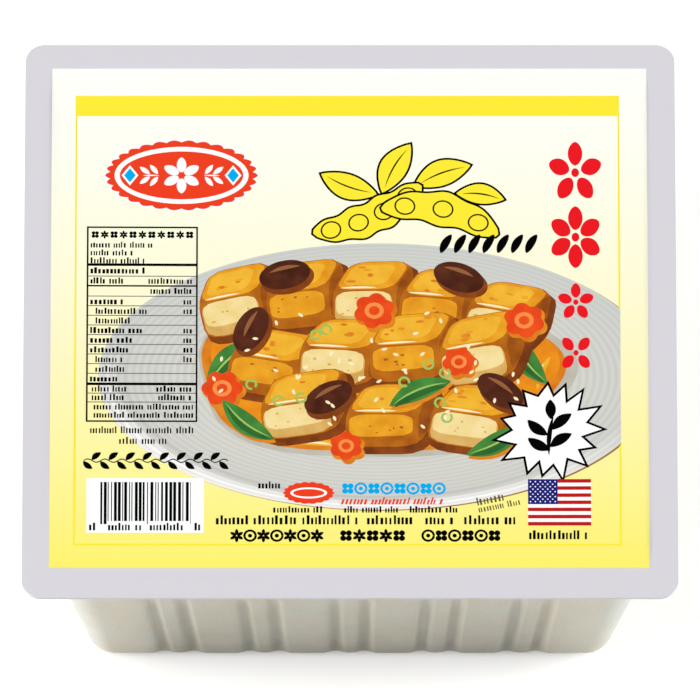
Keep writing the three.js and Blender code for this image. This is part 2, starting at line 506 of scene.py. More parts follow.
def print_plate(sheet):
    """The plate, cut off at the rule on the right, and a brown line along its rim."""
    outline = ellipse(PLATE_CENTRE, *PLATE_HALF, 180)
    for ink, points in (("plate_rim", outline + PLATE_RIM_OFFSET), ("plate", outline)):
        sheet.add(ink, np.minimum(points, (RULE[2], math.inf)))


def block(sheet, rng, corner, width, height, back, angle, front):
    """A toasted block seen from above a corner: its shadow, side, golden top and cut front."""
    corner = np.array(corner, float)
    along, up, back = np.array([width, 0.0]), np.array([0.0, height]), np.array(back, float)

    def face(ink, *offsets, shrink=1.0, moved=(0.0, 0.0)):
        points = np.array([corner + offset for offset in offsets])
        middle = points.mean(axis=0)
        points = softened(middle + (points - middle) * shrink) + moved
        sheet.add(ink, turned(points, angle, corner))

    def spot(ink, x, y, half_x, half_y):
        sheet.add(ink, turned(ellipse(corner + (x, y), half_x, half_y, 14), angle, corner))

    whole = (0 * up, along, along + back, along + back + up, up + back, up)
    top = (up, along + up, along + up + back, up + back)
    face("umber", *whole, shrink=1.06, moved=(0.9, -1.3))
    face("gold_deep", *whole)
    side = (along + 0.06 * back, along + back, along + back + up, along + up + 0.1 * back)
    face("crust", *side, shrink=0.94)
    face("gold", *top, shrink=0.96)
    face("gold_light", *top, shrink=0.72, moved=(-0.05 * width, 0.2))
    for _ in range(5):
        share = rng.uniform(0.12, 0.88)
        x = rng.uniform(0.12, 0.82) * width + share * back[0]
        ink = rng.choice(("gold", "amber_deep"))
        spot(ink, x, height + share * back[1], rng.uniform(0.4, 1.1), rng.uniform(0.2, 0.45))
    face(front + "_deep", 0 * up, along, along + up, up, shrink=0.94)
    face(front, 0.24 * up, along + 0.3 * up, along + up, up, shrink=0.9)
    for _ in range(5):
        x, y = rng.uniform(0.15, 0.85) * width, rng.uniform(0.35, 0.85) * height
        spot(front + "_deep", x, y, rng.uniform(0.2, 0.5), rng.uniform(0.15, 0.3))
    shine = leaf(corner + (0.42 * width, height + 0.5), 0.6 * width, 0.45, 0, 0.1, 0.6, 12)
    sheet.add("seed", turned(shine, angle, corner))


def root_flower(sheet, x, y, start, radius):
    """A flower cut from an orange root."""
    centre = np.array([x, y])
    sheet.add("amber_deep", scalloped(centre + (0.5, -0.7), radius + 0.2, radius, 6, 0.2, start))
    sheet.add("carrot", scalloped(centre, radius, radius * 0.94, 6, 0.2, start))
    sheet.add("carrot_light", ellipse(centre, radius * 0.46, radius * 0.43, 30))
    sheet.add("carrot", ellipse(centre, radius * 0.26, radius * 0.24, 20))


def green_leaf(sheet, x, y, angle, bend, length, width):
    centre = np.array([x, y])
    sheet.add("amber_deep", leaf(centre + (0.4, -0.7), length, width, angle, bend))
    sheet.add("leaf", leaf(centre, length, width, angle, bend))
    low = centre + (0, -width * 0.16)
    sheet.add("leaf_dark", leaf(low, length * 0.84, width * 0.42, angle, bend))
    sheet.add("leaf_light", leaf(centre, length * 0.88, width * 0.1, angle, bend))


def dark_cap(sheet, x, y, angle):
    """A dark brown cap with a soft shine."""
    centre = np.array([x, y])
    sheet.add("umber", ellipse(centre + (0.6, -1.0), 5.6, 3.4, 40, angle))
    sheet.add("brown", ellipse(centre, 5.4, 3.2, 40, angle))
    sheet.add("brown_light", leaf(centre + (0, 1.2), 6.6, 0.9, angle, 0.4))


def print_picture(sheet):
    """Three rows of toasted blocks with root flowers, leaves and dark caps, on amber sauce."""
    rng = random.Random(12)
    fronts = ("cream", "gold")
    t = round_angles(120)
    wave = 1 + 0.035 * np.sin(5 * t + 0.6) + 0.03 * np.sin(3 * t + 2.0)
    for ink, half_x, half_y, offset in (
        ("plate_shade", 38.9, 20.0, (1.8, -0.3)),
        ("amber_deep", 37.4, 19.0, (0.9, 0.0)),
        ("amber", 35.8, 17.6, (1.3, 0.9)),
    ):
        sheet.add(ink, oval(PICTURE_CENTRE + offset, half_x, half_y, t, wave))
    shines = ((-25, -20, 9, -38), (-6, -28.2, 11, -4), (26, -25, 12, 24), (40, -12, 8, 70))
    for x, y, length, angle in shines:
        sheet.add("gold_light", leaf((x, y), length, 1.3, angle, 0.5, 0.7))
        sheet.add("seed", leaf((x - 0.6, y + 0.25), 0.5 * length, 0.45, angle, 0.25, 0.7))
    for k in range(5):
        place = (-29.6 + k * 13.1, -5.8 + 4.2 * math.sin(math.pi * (k + 0.5) / 5))
        block(sheet, rng, place, 12.6, 8.4, (4.0, 6.4), 13 - k * 6, fronts[k % 2])
    for place in ((-24.2, -9.6, 44), (8.0, -3.2, 8), (37.0, -8.0, 120)):
        green_leaf(sheet, *place, 1.2, 15.0, 5.0)
    for place in ((-13.5, 10.4, 14), (22.5, 9.8, -20)):
        dark_cap(sheet, *place)
    for k in range(4):
        place = (-26.0 + k * 15.2, -16.4 + 2.4 * math.sin(math.pi * (k + 0.5) / 4))
        block(sheet, rng, place, 14.0, 8.2, (4.4, 6.8), -10 + k * 7, fronts[(k + 1) % 2])
    for place in ((-26.4, -15.4, 0), (5.0, 2.2, 20), (36.0, 0.0, 40)):
        root_flower(sheet, *place, 4.3)
    for k in range(3):
        place = (-17.5 + k * 16.6, -27.4 - 1.2 * (k == 1))
        block(sheet, rng, place, 14.6, 7.6, (4.2, 6.6), 9 - k * 9, fronts[k % 2])
    for place in ((-21.0, -22.5, 140, 1.0), (14.5, -16.6, 24, 1.0), (30.0, -27.0, 30, -0.8)):
        green_leaf(sheet, *place, 14.0, 4.6)
    for place in ((-4.5, -17.4, 30), (31.0, -16.0, -36), (-20.5, -2.0, 64)):
        dark_cap(sheet, *place)
    for place in ((-0.8, -28.4, 30), (22.5, -9.4, 10)):
        root_flower(sheet, *place, 3.5)
    for _ in range(STALK_RINGS):
        turn, out = rng.uniform(0, 2 * math.pi), rng.uniform(0.2, 0.92)
        place = oval(PICTURE_CENTRE, 34 * out, 14.5 * out, turn)
        sheet.add("leaf_light", open_ring(place, 1.25, 0.5, rng.uniform(0, 360)))
    for _ in range(SEEDS):
        turn, out = rng.uniform(0, 2 * math.pi), rng.uniform(0.1, 0.97)
        place = oval(PICTURE_CENTRE, 35 * out, 15.5 * out, turn)
        sheet.add("seed", leaf(place, 1.3, 0.62, rng.uniform(0, 180), 0, 0.6, 8))


def print_emblem(sheet):
    """A scalloped red medallion: a flower, a spray on either side and a blue diamond beyond it."""
    sheet.add("white", scalloped(EMBLEM_CENTRE, 16.3, 8.4, 30, 0.05))
    sheet.add("emblem_red", scalloped(EMBLEM_CENTRE, 15.8, 8.0, 30, 0.06))
    sheet.add("white", ellipse(EMBLEM_CENTRE, 13.9, 6.5, 120))
    sheet.add("emblem_red", ellipse(EMBLEM_CENTRE, 12.8, 5.45, 120))
    for angle in range(30, 390, 60):
        place = oval(EMBLEM_CENTRE, 2.35, 2.35, math.radians(angle))
        sheet.add("white", leaf(place, 3.5, 2.0, angle, 0, 0.6))
    sheet.add("emblem_red", ellipse(EMBLEM_CENTRE, 0.75, 0.75, 24))
    for side in (-1, 1):
        sheet.add("white", leaf(EMBLEM_CENTRE + (side * 6.3, 0), 3.4, 0.3, 0))
        for x, y, angle in ((5.7, 1.35, 52), (5.7, -1.35, -52), (7.6, 1.1, 38), (7.6, -1.1, -38)):
            sheet.add("white", leaf(EMBLEM_CENTRE + (side * x, y), 2.7, 1.05, side * angle))
        place = EMBLEM_CENTRE + (side * 10.7, 0.0)
        sheet.add("white", ellipse(place, 1.75, 2.3, 4))
        sheet.add("blue", ellipse(place, 1.2, 1.65, 4))


def print_panel(sheet):
    """The ruled panel, with strokes in its rows."""
    left, bottom, right, top = PANEL
    inner_left, inner_right = left + 0.8, right - 0.8
    sheet.frame("black", left, bottom, right, top, PANEL_LINE)
    sheet.row("black", inner_left, inner_right, 19.45, 0.92, ("petals", "star") * 5 + ("petals",))
    for row, share in enumerate((0.62, 0.42, 0.52)):
        end = mix(inner_left, inner_right, share)
        sheet.strokes(inner_left, end, 16.5 - row * 1.79, 1.35, 21 + row, 0.24)
    for y, thick in ((12.6, 0.6), (7.8, PANEL_LINE), (-14.45, 0.6)):
        sheet.add("black", rectangle(left, y - thick / 2, right, y + thick / 2))
    # Each row: its base, the share of the width that its first strokes take, their indent, the
    # share that the strokes at its right end take, and the weight of the first ones.
    rows = [(10.6, 0.55, 0, 0, 0.34), (8.3, 0.34, 0, 0.44, 0.3), (6.0, 0, 0, 0.42, 0.34)]
    details = (
        (0.34, 0, 0.1), (0.5, 1.1, 0.1), (0.36, 1.1, 0), (0.5, 0, 0.1), (0.42, 0, 0.1),
        (0.4, 0, 0.1), (0.28, 1.1, 0.1), (0.3, 1.1, 0), (0.3, 0, 0),
    )
    for k, (share, indent, value) in enumerate(details):
        rows.append((3.6 - k * PANEL_PITCH, share, indent, value, 0.25 if indent else 0.34))
    rows += [(-16.2, 0.34, 0.4, 0.36, 0.25), (-18.15, 0.34, 0.4, 0.34, 0.25)]
    for k, (base, share, indent, value, weight) in enumerate(rows):
        if share:
            end = mix(inner_left, inner_right, share) + indent
            sheet.strokes(inner_left + indent, end, base, 1.4, 30 + k, weight)
        if value:
            start = mix(inner_right, inner_left, value)
            sheet.strokes(start, inner_right, base, 1.4, 60 + k, 0.27)
    for base, seed in ((-20.25, 91), (-22.1, 92)):
        sheet.strokes(inner_left + 0.8, inner_right, base, 1.35, seed, 0.25)
    for y in [10.0] + [5.45 - k * PANEL_PITCH for k in range(len(details))] + [-16.55, -18.55]:
        sheet.add("grey_line", rectangle(left + PANEL_LINE, y - 0.1, right - PANEL_LINE, y + 0.1))


def print_bars(sheet):
    """Uneven bars in a white box, longer at the ends and in the middle, over short strokes."""
    sheet.add("white", rectangle(*BAR_BOX))
    rng = random.Random(7)
    x, right = BAR_ENDS
    while x < right:
        width = BAR_MODULE * rng.choice((1, 2, 2, 3, 3, 4))
        is_long = x < -50.6 or x > right - 0.9 or abs(x + 42.1) < 0.5
        low = -46.1 if is_long else -45.4
        sheet.add("black", rectangle(x, low, min(x + width, right), -36.6))
        x += width + BAR_MODULE * rng.choice((1, 1.5, 2, 2, 2.5))
    ends = ((-53.7, -52.4), (-49.8, -43.0), (-41.2, -34.4), (-32, -30.7))
    for seed, (start, end) in enumerate(ends, 81):
        sheet.strokes(start, end, -47.5, 1.7, seed, 0.24)


def print_left_lines(sheet):
    """The small lines and the bold line under the panel, and the bars."""
    sheet.strokes(-53.6, -32.0, -25.6, 1.55, 71, 0.2)
    sheet.strokes(-47.6, -37.4, -28.0, 1.55, 72, 0.2)
    sheet.vine("black", -54.9, -25.1, -31.8, 3.6, 17)
    print_bars(sheet)


def print_sprig(sheet):
    """The large yellow motif: two pods and four leaves, each with a dark line round it."""
    for x, y, length, width, angle in (
        (-0.2, 31.0, 12.5, 5.4, 158),
        (9.6, 34.6, 12.5, 5.6, 62),
        (19.2, 33.0, 12.5, 5.6, 22),
        (27.0, 28.2, 10.0, 4.4, -8),
    ):
        sheet.outlined("yellow", "black", leaf((x, y), length, width, angle, 0.6, 0.85))
        sheet.add("black", leaf((x, y), length * 0.8, 0.34, angle, 0.6))
    for centre, beans, angle, bend in (((3.6, 25.2), 4, 26, -2.0), ((18.6, 22.6), 3, -14, 2.8)):
        outline, middles = pod(centre, *POD_SIZE, beans, angle, bend)
        sheet.outlined("yellow", "black", outline)
        for place in middles:
            sheet.add("black", ellipse(place, 2.2, 2.0, 36, angle))
            sheet.add("yellow", ellipse(place, 1.86, 1.66, 36, angle))
    for k in range(7):
        sheet.add("black", leaf((19.9 + k * 2.95, 17.4), 4.8, 1.7, 62, 0.2, 0.6))


def print_blossoms(sheet):
    """Petals round a middle that stays bare, and a dot in it."""
    for y, half, petals, start in (
        (33.6, (5.8, 7.2), 5, 90),
        (18.9, (5.8, 7.2), 6, 90),
        (4.1, (3.9, 4.4), 5, 90),
        (-7.4, (3.9, 4.7), 4, 45),
    ):
        centre = (46.7, y)
        for k in range(petals):
            angle = start + 360 * k / petals
            place = oval((0, 0), 0.6, 0.6, math.radians(angle))
            sheet.add("red", leaf(place, 0.76, 0.52, angle, 0, 0.55) * half + centre)
        sheet.add("red", ellipse((0, 0), 0.14, 0.14, 24) * half + centre)


def print_burst(sheet):
    """A white uneven star, with a dark line round it and a dark sprig in its middle."""
    rng = random.Random(5)
    outline = []
    for k in range(BURST_SPIKES):
        for at, span, jitter in ((k, (0.84, 1.0), 0.16), (k + 0.5, (0.58, 0.68), 0.0)):
            angle = 2 * math.pi * (at + rng.uniform(-jitter, jitter)) / BURST_SPIKES
            outline.append(oval(BURST_CENTRE, *BURST_HALF, angle, rng.uniform(*span)))
    sheet.outlined("white", "black", np.array(outline), 0.5)
    sheet.add("black", leaf(BURST_CENTRE + (0.3, -1.2), 9.0, 1.0, 84, 0.4))
    for dx, dy, angle in ((-2.5, 0.6, 140), (2.5, 1.9, 42), (-2.2, -3.1, 150), (2.3, -2.3, 34)):
        sheet.add("black", leaf(BURST_CENTRE + (dx, dy), 5.4, 2.3, angle, 0.3))
    sheet.add("black", leaf(BURST_CENTRE + (0.2, 4.7), 4.5, 2.2, 92, 0))


def print_flag(sheet):
    """A striped flag with dots in its corner field, and a line of small strokes under it."""
    left, bottom, right, top = FLAG
    stripe = (top - bottom) / FLAG_STRIPES
    for k in range(FLAG_STRIPES):
        low = bottom + k * stripe
        sheet.add("flag_red" if k % 2 == 0 else "white", rectangle(left, low, right, low + stripe))
    canton_right = mix(left, right, 0.47)
    canton_bottom = top - 7 * stripe
    sheet.add("navy", rectangle(left, canton_bottom, canton_right, top))
    for row in range(9):
        for column in range(6 - row % 2):
            x = mix(left, canton_right, (2 * column + 1 + row % 2) / 12)
            y = mix(top, canton_bottom, (row + 1) / 10)
            sheet.add("white", ellipse((x, y), 0.16, 0.16, 6))
    sheet.strokes(left + 0.2, right - 0.3, -49.5, 2.0, 95, 0.24)


def print_foot_lines(sheet):
    """The lines along the bottom, with a small lozenge and a row of blue figures above them."""
    sheet.strokes(-18.9, -14.2, -38.05, 1.6, 101, 0.26)
    lozenge = np.array([-8.5, -39.05])
    sheet.add("emblem_red", scalloped(lozenge, 5.3, 2.5, 18, 0.08))
    sheet.add("white", ellipse(lozenge, 3.8, 1.25, 48))
    sheet.add("emblem_red", ellipse(lozenge, 3.2, 0.85, 48))
    sheet.row("blue", -1.9, 19.8, -38.05, 1.45, ("petals", "ring") * 4)
    sheet.strokes(-1.9, 19.4, -41.65, 1.6, 102, 0.26, "emblem_red", slant=0.3)
    for seed, (start, end) in enumerate(((-15.8, -5.2), (-1.2, 10.4), (12.3, 22.4)), 103):
        sheet.strokes(start, end, -43.5, 1.45, seed, 0.25)
    ends = ((-27.6, 1.7), (3.5, 13.7), (15.5, 22.0), (23.5, 34.2))
    for seed, (start, end) in enumerate(ends, 111):
        sheet.strokes(start, end, -46.15, 2.05, seed, 0.23)
    sheet.row("black", -24.8, -5.3, -48.7, 1.48, ("star", "ring") * 3 + ("star",))
    sheet.row("black", -2.3, 11.6, -48.7, 1.48, ("petals", "star") * 2 + ("petals",))
    sheet.row("black", 14.6, 31.2, -48.7, 1.48, ("ring", "petals") * 3)
    sheet.strokes(26.6, 35.4, -43.5, 1.4, 131, 0.2, "grey_text", turn=12)
    sheet.strokes(26.3, 32.1, -41.9, 1.8, 132, 0.2, "grey_text", turn=12)


def make_print():
    """All that is printed. What comes later lies over what comes before."""
    sheet = Print()
    for draw in (
        print_ground, print_plate, print_picture, print_emblem, print_panel, print_left_lines,
        print_sprig, print_blossoms, print_burst, print_flag, print_foot_lines,
    ):
        draw(sheet)
    return sheet


# ---- the film


def inside_mouth(x, y):
    """How far a place is inside the tub's mouth, negative on the flange."""
    to_x = np.abs(x) - MOUTH_HALF_X + MOUTH_CORNER_RADIUS
    to_y = np.abs(y) - MOUTH_HALF_Y + MOUTH_CORNER_RADIUS
    outside = np.hypot(np.maximum(to_x, 0), np.maximum(to_y, 0))
    return MOUTH_CORNER_RADIUS - outside - np.minimum(np.maximum(to_x, to_y), 0)


def film_top(x, y):
    """The height of the film's upper face: flat on the flange, a step at the seal, then a sag."""
    inside = inside_mouth(x, y)
    step = smoothstep(inside, -0.4, SEAL_STEP_WIDTH)
    sag = 1 - (1 - np.clip(inside / SAG_REACH, 0, 1)) ** 2
    ripple = np.sin(x / 5.2 + 1.3 * np.sin(y / 9.0)) * np.sin(y / 6.3 + 0.9 * np.sin(x / 11.0))
    swell = np.sin(x / 13.0 + 0.7) * np.sin(y / 11.0 + 0.4)
    relief = step * (RIPPLE_HEIGHT * (ripple - 1) + SWELL_HEIGHT * (swell - 1))
    return PACK_HEIGHT - PRINT_THICKNESS - SEAL_STEP * step - FILM_SAG * sag + relief


def film_normals(x, y, reach=0.05):
    slope_x = (film_top(x + reach, y) - film_top(x - reach, y)) / (2 * reach)
    slope_y = (film_top(x, y + reach) - film_top(x, y - reach)) / (2 * reach)
    normals = np.column_stack([-slope_x, -slope_y, np.ones(len(x))])
    return normals / np.linalg.norm(normals, axis=1)[:, None]


def film_outline():
    """The film's outer edge, which is the flange's."""
    half = np.array([PACK_LENGTH / 2, PACK_WIDTH / 2]) - FLANGE_CORNER_RADIUS
    t = np.linspace(0, math.pi / 2, FILM_CORNER_STEPS)
    corners = []
    for k, signs in enumerate(((1, 1), (-1, 1), (-1, -1), (1, -1))):
        angle = t + k * math.pi / 2
        corners.append(oval(half * signs, FLANGE_CORNER_RADIUS, FLANGE_CORNER_RADIUS, angle))
    return np.concatenate(corners)


def film_grid():
    """Points spread over the film, closer together along the step at the seal."""
    half_x, half_y = PACK_LENGTH / 2 - FILM_GRID_MARGIN, PACK_WIDTH / 2 - FILM_GRID_MARGIN
    xs = np.arange(-half_x, half_x + 0.1, FILM_GRID)
    ys = np.arange(-half_y, half_y + 0.1, FILM_GRID)
    shifts = 0.0, FILM_GRID_SHIFT * FILM_GRID
    grid = np.array([(x + shifts[i % 2], y) for i, y in enumerate(ys) for x in xs[:-1]])
    from_corner = np.hypot(np.abs(grid[:, 0]) - half_x, np.abs(grid[:, 1]) - half_y)
    grid = grid[from_corner > 3]
    seal = [mouth_ring(inset)[::3] for inset in np.linspace(-0.6, SEAL_STEP_WIDTH + 0.4, 7)]
    return np.concatenate([grid] + seal)


def triangulate(sheet):
    """The film cut into triangles along the edges of all that is printed, and the ink of each."""
    points, outlines = [], []
    for _, outline in [(None, film_outline())] + sheet.shapes:
        outlines.append(list(range(len(points), len(points) + len(outline))))
        points.extend(outline.tolist())
    points.extend(film_grid().tolist())
    made = delaunay_2d_cdt([Vector(p) for p in points], [], outlines, 0, 1e-4, True)
    places, faces, owners_of_faces = made[0], made[2], made[5]
    triangles, inks = [], []
    for corners, owners in zip(faces, owners_of_faces):
        if owners:
            upper = max(owners)
            triangles.append(corners)
            inks.append(sheet.shapes[upper - 1][0] if upper else None)
    return np.array([tuple(p) for p in places]), np.array(triangles), inks


def sheet_object(name, places, triangles, top, bottom, material):
    """A closed thin sheet: triangles on top, the same below, and a wall round every free edge."""
    used, corners = np.unique(triangles, return_inverse=True)
    corners = corners.reshape(triangles.shape)
    xy = places[used]
    count = len(used)
    points = np.concatenate([np.column_stack([xy, top[used]]), np.column_stack([xy, bottom[used]])])
    edges = {edge for a, b, c in corners.tolist() for edge in ((a, b), (b, c), (c, a))}
    rim = [(a, b) for a, b in edges if (b, a) not in edges]
    faces = corners.tolist()
    faces += [(c + count, b + count, a + count) for a, b, c in corners.tolist()]
    faces += [(a + count, b + count, b, a) for a, b in sorted(rim)]
    made = mesh_object(name, points, faces, material)
    normals = film_normals(xy[:, 0], xy[:, 1])
    loops = np.empty(len(made.data.loops), int)
    made.data.loops.foreach_get("vertex_index", loops)
    custom = np.zeros((len(loops), 3))
    upper = 3 * len(corners)
    custom[:upper] = normals[loops[:upper]]
    custom[upper : 2 * upper] = -normals[loops[upper : 2 * upper] - count]
    made.data.polygons.foreach_set("use_smooth", [i < 2 * len(corners) for i in range(len(faces))])
    for face in made.data.polygons[2 * len(corners) :]:
        custom[list(face.loop_indices)] = face.normal
    made.data.normals_split_custom_set(custom.tolist())
    return made


def make_film(sheet, materials):
    """The film itself, and one thin piece for each ink on it."""
    places, triangles, inks = triangulate(sheet)
    top = film_top(places[:, 0], places[:, 1])
    bottom = top - FILM_THICKNESS
    film = sheet_object("film_sheet", places, triangles, top, bottom, materials["film"])
    pieces = [film]
    over, under = top + PRINT_THICKNESS, top - PRINT_ROOT
    for ink in sorted({i for i in inks if i}):
        chosen = triangles[[i == ink for i in inks]]
        pieces.append(sheet_object("print_" + ink, places, chosen, over, under, materials[ink]))
    return film, pieces


# ---- materials

PRINT_GAIN = 0.9
FILM_ROUGHNESS = 0.38
FILM_SPECULAR = 0.0
FIELD_SHADES = (
    (0.0, (254, 242, 110)),
    (0.2, (255, 246, 157)),
    (0.4, (255, 248, 193)),
    (0.62, (255, 252, 221)),
    (0.85, (255, 254, 242)),
    (1.0, (255, 255, 250)),
)
PLATE_RINGS = 38
PLATE_RING_SHADE = (172, 172, 164)
PLATE_FAR_SHADES = (
    (0.0, (204, 203, 193)),
    (0.7, (215, 215, 207)),
    (1.0, (209, 211, 207)),
)
PLATE_NEAR_SHADES = (
    (0.0, (204, 203, 193)),
    (0.7, (217, 217, 209)),
    (0.885, (212, 212, 205)),
    (0.91, (199, 198, 192)),
    (0.935, (228, 227, 223)),
    (0.96, (253, 252, 250)),
    (0.985, (252, 250, 246)),
    (1.0, (238, 234, 226)),
)

TUB_WARM = (0.522, 0.467, 0.358)
TUB_COOL = (0.496, 0.488, 0.402)
TUB_SPECK = (0.33, 0.30, 0.22)
SPECK_SPACING = 10.0
SPECK_RADIUS = 0.35
PATCH_SIZE = 9.0
GRAIN_SIZE = 0.5
GRAIN_SHADES = ((0.3, (0.88, 0.88, 0.88)), (0.7, (1, 1, 1)))
FLANGE_TINT = (0.53, 0.52, 0.52)
# Painted shade: the walls get darker towards the foot, by height as a share of the flange's
# underside.
FOOT_PAINTED_SHADE = (
    (0.0, (0.33, 0.325, 0.312)),
    (0.06, (0.44, 0.435, 0.42)),
    (0.2, (0.61, 0.605, 0.59)),
    (0.45, (0.79, 0.79, 0.78)),
    (0.7, (0.925, 0.925, 0.92)),
    (0.9, (1, 1, 1)),
)
# Painted light: the corners are paler than the walls, and more so towards the side walls. Where
# this starts and ends is a share of the foot's half sizes multiplied, or millimetres out from the
# foot's side.
CORNER_PAINTED_LIGHT = (1.1, 1.11, 1.13)
CORNER_PAINTED_LIGHT_REACH = (0.66, 0.98)
SIDE_PAINTED_LIGHT = (1.07, 1.145, 1.28)
SIDE_PAINTED_LIGHT_REACH = (-4.4, 1.6)
# How far in from the foot's sides the plain underside starts, and where it is quite plain.
UNDERSIDE_REACH = (1.2, 5.5)


def add_node(tree, kind, inputs, output, **settings):
    """One output of a new node, whose inputs are numbers, colours or outputs of other nodes."""
    node = tree.nodes.new("ShaderNode" + kind)
    for name, value in settings.items():
        setattr(node, name, value)
    for key, value in inputs.items():
        socket = node.inputs[key]
        if isinstance(value, bpy.types.NodeSocket):
            tree.links.new(value, socket)
        else:
            socket.default_value = (*value, 1) if isinstance(value, tuple) else value
    return node.outputs[output]


class Surface:
    """A Principled material with the few procedural parts that this pack needs."""

    def __init__(self, name, colour, roughness, specular=0.5):
        self.material = bpy.data.materials.new(name)
        self.material.use_nodes = True
        self.tree = self.material.node_tree
        self.shader = self.tree.nodes["Principled BSDF"]
        self.colour = colour
        self.settle({"Base Color": (*colour, 1), "Roughness": roughness})
        self.settle({"Specular IOR Level": specular})
        self.place = add_node(self.tree, "TexCoord", {}, "Object")

    def settle(self, values):
        for name, value in values.items():
            self.shader.inputs[name].default_value = value

    def node(self, kind, inputs, output, **settings):
        return add_node(self.tree, kind, inputs, output, **settings)

    def noise(self, size_mm, detail=3.0):
        inputs = {"Vector": self.place, "Scale": 1 / (size_mm * MM), "Detail": detail}
        return self.node("TexNoise", inputs, "Fac")

    def spread(self, value, low, high, start=0.3, end=0.7):
        """A value from start to end, the usual ends of a noise, made to run from low to high."""
        ends = {"From Min": start, "From Max": end, "To Min": low, "To Max": high}
        return self.node("MapRange", {"Value": value, **ends}, "Result")

    def specks(self, spacing_mm, radius_mm):
        """0 in a few tiny scattered spots and 1 elsewhere."""
        inputs = {"Vector": self.place, "Scale": 1 / (spacing_mm * MM)}
        radius = radius_mm / spacing_mm
        return self.spread(self.node("TexVoronoi", inputs, "Distance"), 0, 1, 0.6 * radius, radius)

    def rough_noise(self, size_mm, low, high):
        roughness = self.spread(self.noise(size_mm), low, high)
        self.tree.links.new(roughness, self.shader.inputs["Roughness"])

    def bump(self, size_mm, height_mm):
        """Fine relief, on top of any relief that is there already."""
        normal = self.shader.inputs["Normal"]
        inputs = {"Strength": 1.0, "Distance": height_mm * MM, "Height": self.noise(size_mm)}
        if normal.links:
            inputs["Normal"] = normal.links[0].from_socket
        self.tree.links.new(self.node("Bump", inputs, "Normal"), normal)

    def blend(self, share, first, second, kind="MIX"):
        inputs = {0: share, 6: first, 7: second}
        return self.node("Mix", inputs, 2, data_type="RGBA", blend_type=kind)

    def paint(self, colour):
        self.tree.links.new(colour, self.shader.inputs["Base Color"])

    def mottled(self, other, size_mm):
        """The colour drifts softly to another one."""
        share = self.spread(self.noise(size_mm), 0, 1)
        self.paint(self.blend(share, self.colour, other))

    def axis(self, name):
        return self.node("SeparateXYZ", {"Vector": self.place}, name)

    def maths(self, operation, *values):
        return self.node("Math", dict(enumerate(values)), "Value", operation=operation)

    def share_along(self, name, start_mm, length_mm):
        """0 at the start of a length along an axis and 1 at its end."""
        beyond = self.maths("SUBTRACT", self.axis(name), start_mm * MM)
        return self.maths("DIVIDE", beyond, length_mm * MM)

    def ramp(self, value, stops):
        colour = self.node("ValToRGB", {"Fac": value}, "Color")
        elements = colour.node.color_ramp.elements
        while len(elements) < len(stops):
            elements.new(0.5)
        for element, (position, stop) in zip(elements, stops):
            element.position = position
            element.color = (*stop, 1)
        return colour


def ink_colour(red, green, blue):
    return tuple(c * PRINT_GAIN for c in srgb(red, green, blue))


def ink_surface(name, colour):
    """An ink or the bare film, with the film's finish."""
    surface = Surface(name, ink_colour(*colour), FILM_ROUGHNESS, FILM_SPECULAR)
    surface.rough_noise(9.0, FILM_ROUGHNESS - 0.04, FILM_ROUGHNESS + 0.04)
    surface.bump(1.6, 0.004)
    return surface


def painted_wall_light_and_shade(surface):
    """Painted shade, darker towards the foot in the middle of each wall; painted light, paler at
    the corners and more so towards the side walls; and plain underneath.
    """
    height = surface.maths("DIVIDE", surface.axis("Z"), FLANGE_UNDERSIDE * MM)
    # Painted shade: darker towards the foot.
    shade = surface.ramp(height, FOOT_PAINTED_SHADE)
    x, y = (surface.maths("ABSOLUTE", surface.axis(name)) for name in "XY")
    half_x, half_y = FOOT_HALF_X * MM, FOOT_HALF_Y * MM
    # Painted light: paler at the corners, more so towards the side walls.
    start, end = (half_x * half_y * reach for reach in CORNER_PAINTED_LIGHT_REACH)
    near_corner = surface.spread(surface.maths("MULTIPLY", x, y), 0, 1, start, end)
    start, end = (half_x + reach * MM for reach in SIDE_PAINTED_LIGHT_REACH)
    painted_corner_light = surface.blend(surface.spread(x, 0, 1, start, end), CORNER_PAINTED_LIGHT, SIDE_PAINTED_LIGHT)
    shade = surface.blend(near_corner, shade, painted_corner_light)
    inside = (surface.maths("SUBTRACT", half, place) for half, place in ((half_x, x), (half_y, y)))
    start, end = (reach * MM for reach in UNDERSIDE_REACH)
    underneath = surface.spread(surface.maths("MINIMUM", *inside), 0, 1, start, end)
    return surface.blend(underneath, shade, (1.0, 1.0, 1.0))


def tub_material():
    """Milky plastic: warm and cool patches, a fine grain, a few specks, painted shade at the foot
    and painted light at the corners.
    """
    surface = Surface("tub_plastic", TUB_WARM, 0.42)
    patches = surface.spread(surface.noise(PATCH_SIZE, 2.0), 0, 1)
    colour = surface.blend(patches, TUB_WARM, TUB_COOL)
    grain = surface.ramp(surface.noise(GRAIN_SIZE, 2.0), GRAIN_SHADES)
    colour = surface.blend(1.0, colour, grain, "MULTIPLY")
    colour = surface.blend(surface.specks(SPECK_SPACING, SPECK_RADIUS), TUB_SPECK, colour)
    # Painted shade darkens the foot and painted light pales the corners.
    colour = surface.blend(1.0, colour, painted_wall_light_and_shade(surface), "MULTIPLY")
    start, end = (FLANGE_UNDERSIDE - 0.4) * MM, FLANGE_UNDERSIDE * MM
    flange = surface.spread(surface.axis("Z"), 0, 1, start, end)
    surface.paint(surface.blend(flange, colour, FLANGE_TINT))
    surface.rough_noise(6.0, 0.36, 0.48)
    surface.bump(7.0, 0.06)
    surface.bump(0.8, 0.008)
    surface.settle({"Subsurface Weight": 0.2, "Subsurface Radius": (1.0, 0.8, 0.6)})
    surface.settle({"Subsurface Scale": 2.0 * MM})
    return surface.material


def ink_ramp(surface, value, shades):
    return surface.ramp(value, [(at, ink_colour(*colour)) for at, colour in shades])


def paint_field(surface):
    """The print's ground: near white at the top, deepening to yellow at the bottom."""
    share = surface.share_along("Y", FIELD[1], FIELD[3] - FIELD[1])
    surface.paint(ink_ramp(surface, share, FIELD_SHADES))


